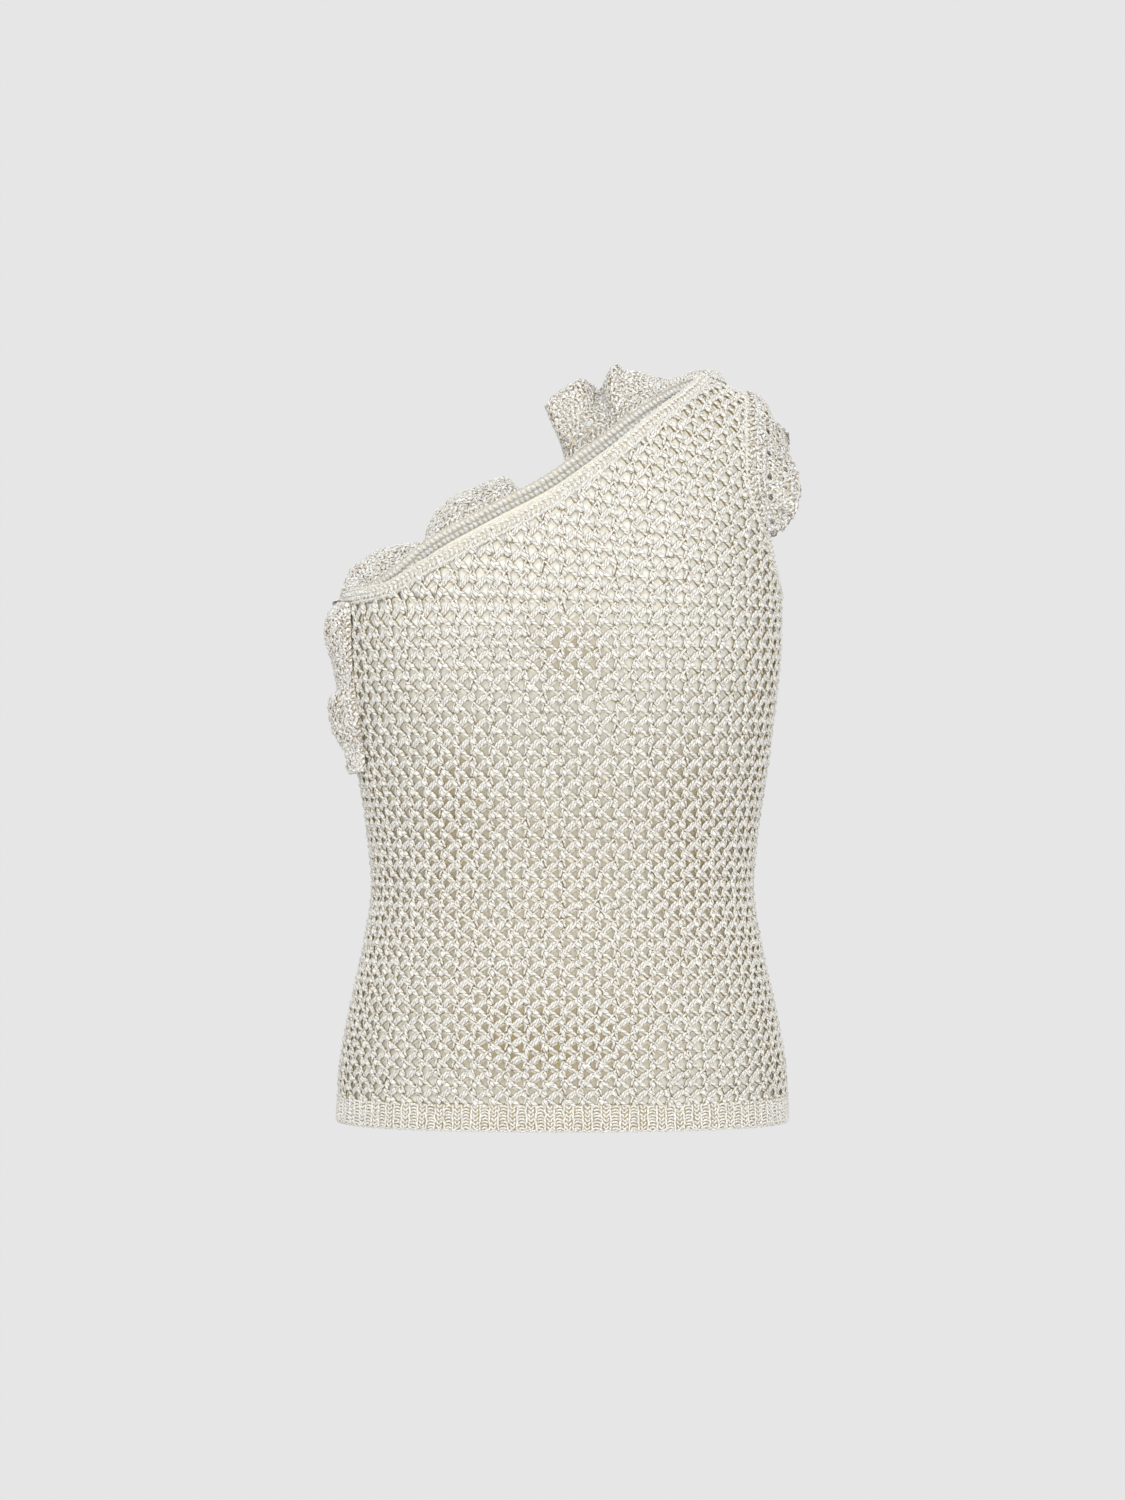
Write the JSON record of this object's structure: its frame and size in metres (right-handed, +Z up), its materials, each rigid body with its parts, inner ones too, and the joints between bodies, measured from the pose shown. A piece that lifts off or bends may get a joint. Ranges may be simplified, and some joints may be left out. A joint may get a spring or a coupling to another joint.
{
  "type": "crochet top",
  "caption": "One-shoulder crochet top, an off-white eyelet mesh over a cream lining, with ruffles along the neckline, left side and armhole and a ribbed hem.",
  "frame": {"origin": "inner face of the shoulder strap, midway across it and on the shoulder seam, where the wearer's right shoulder carries the top", "axes": "+X to the wearer's right, +Y to the front, +Z up; the hem hangs 562 mm below the origin and the back panel faces -Y"},
  "size_m": [0.3661, 0.271, 0.588],
  "materials": {
    "knit_yarn": "matte off-white cotton yarn in an open eyelet knit",
    "trim_yarn": "matte off-white cotton yarn, crocheted close",
    "lining_jersey": "smooth cream jersey"
  },
  "bodies": {
    "root": {"armhole_band_back": "trim_yarn", "armhole_band_front": "trim_yarn", "armhole_ruffle": "trim_yarn", "back_panel": "knit_yarn", "front_panel": "knit_yarn", "hem_rib_back": "trim_yarn", "hem_rib_front": "trim_yarn", "lining_back": "lining_jersey", "lining_front": "lining_jersey", "neck_band_back": "trim_yarn", "neck_band_front": "trim_yarn", "neck_ruffle": "trim_yarn", "side_ruffle": "trim_yarn"}
  },
  "joints": []
}
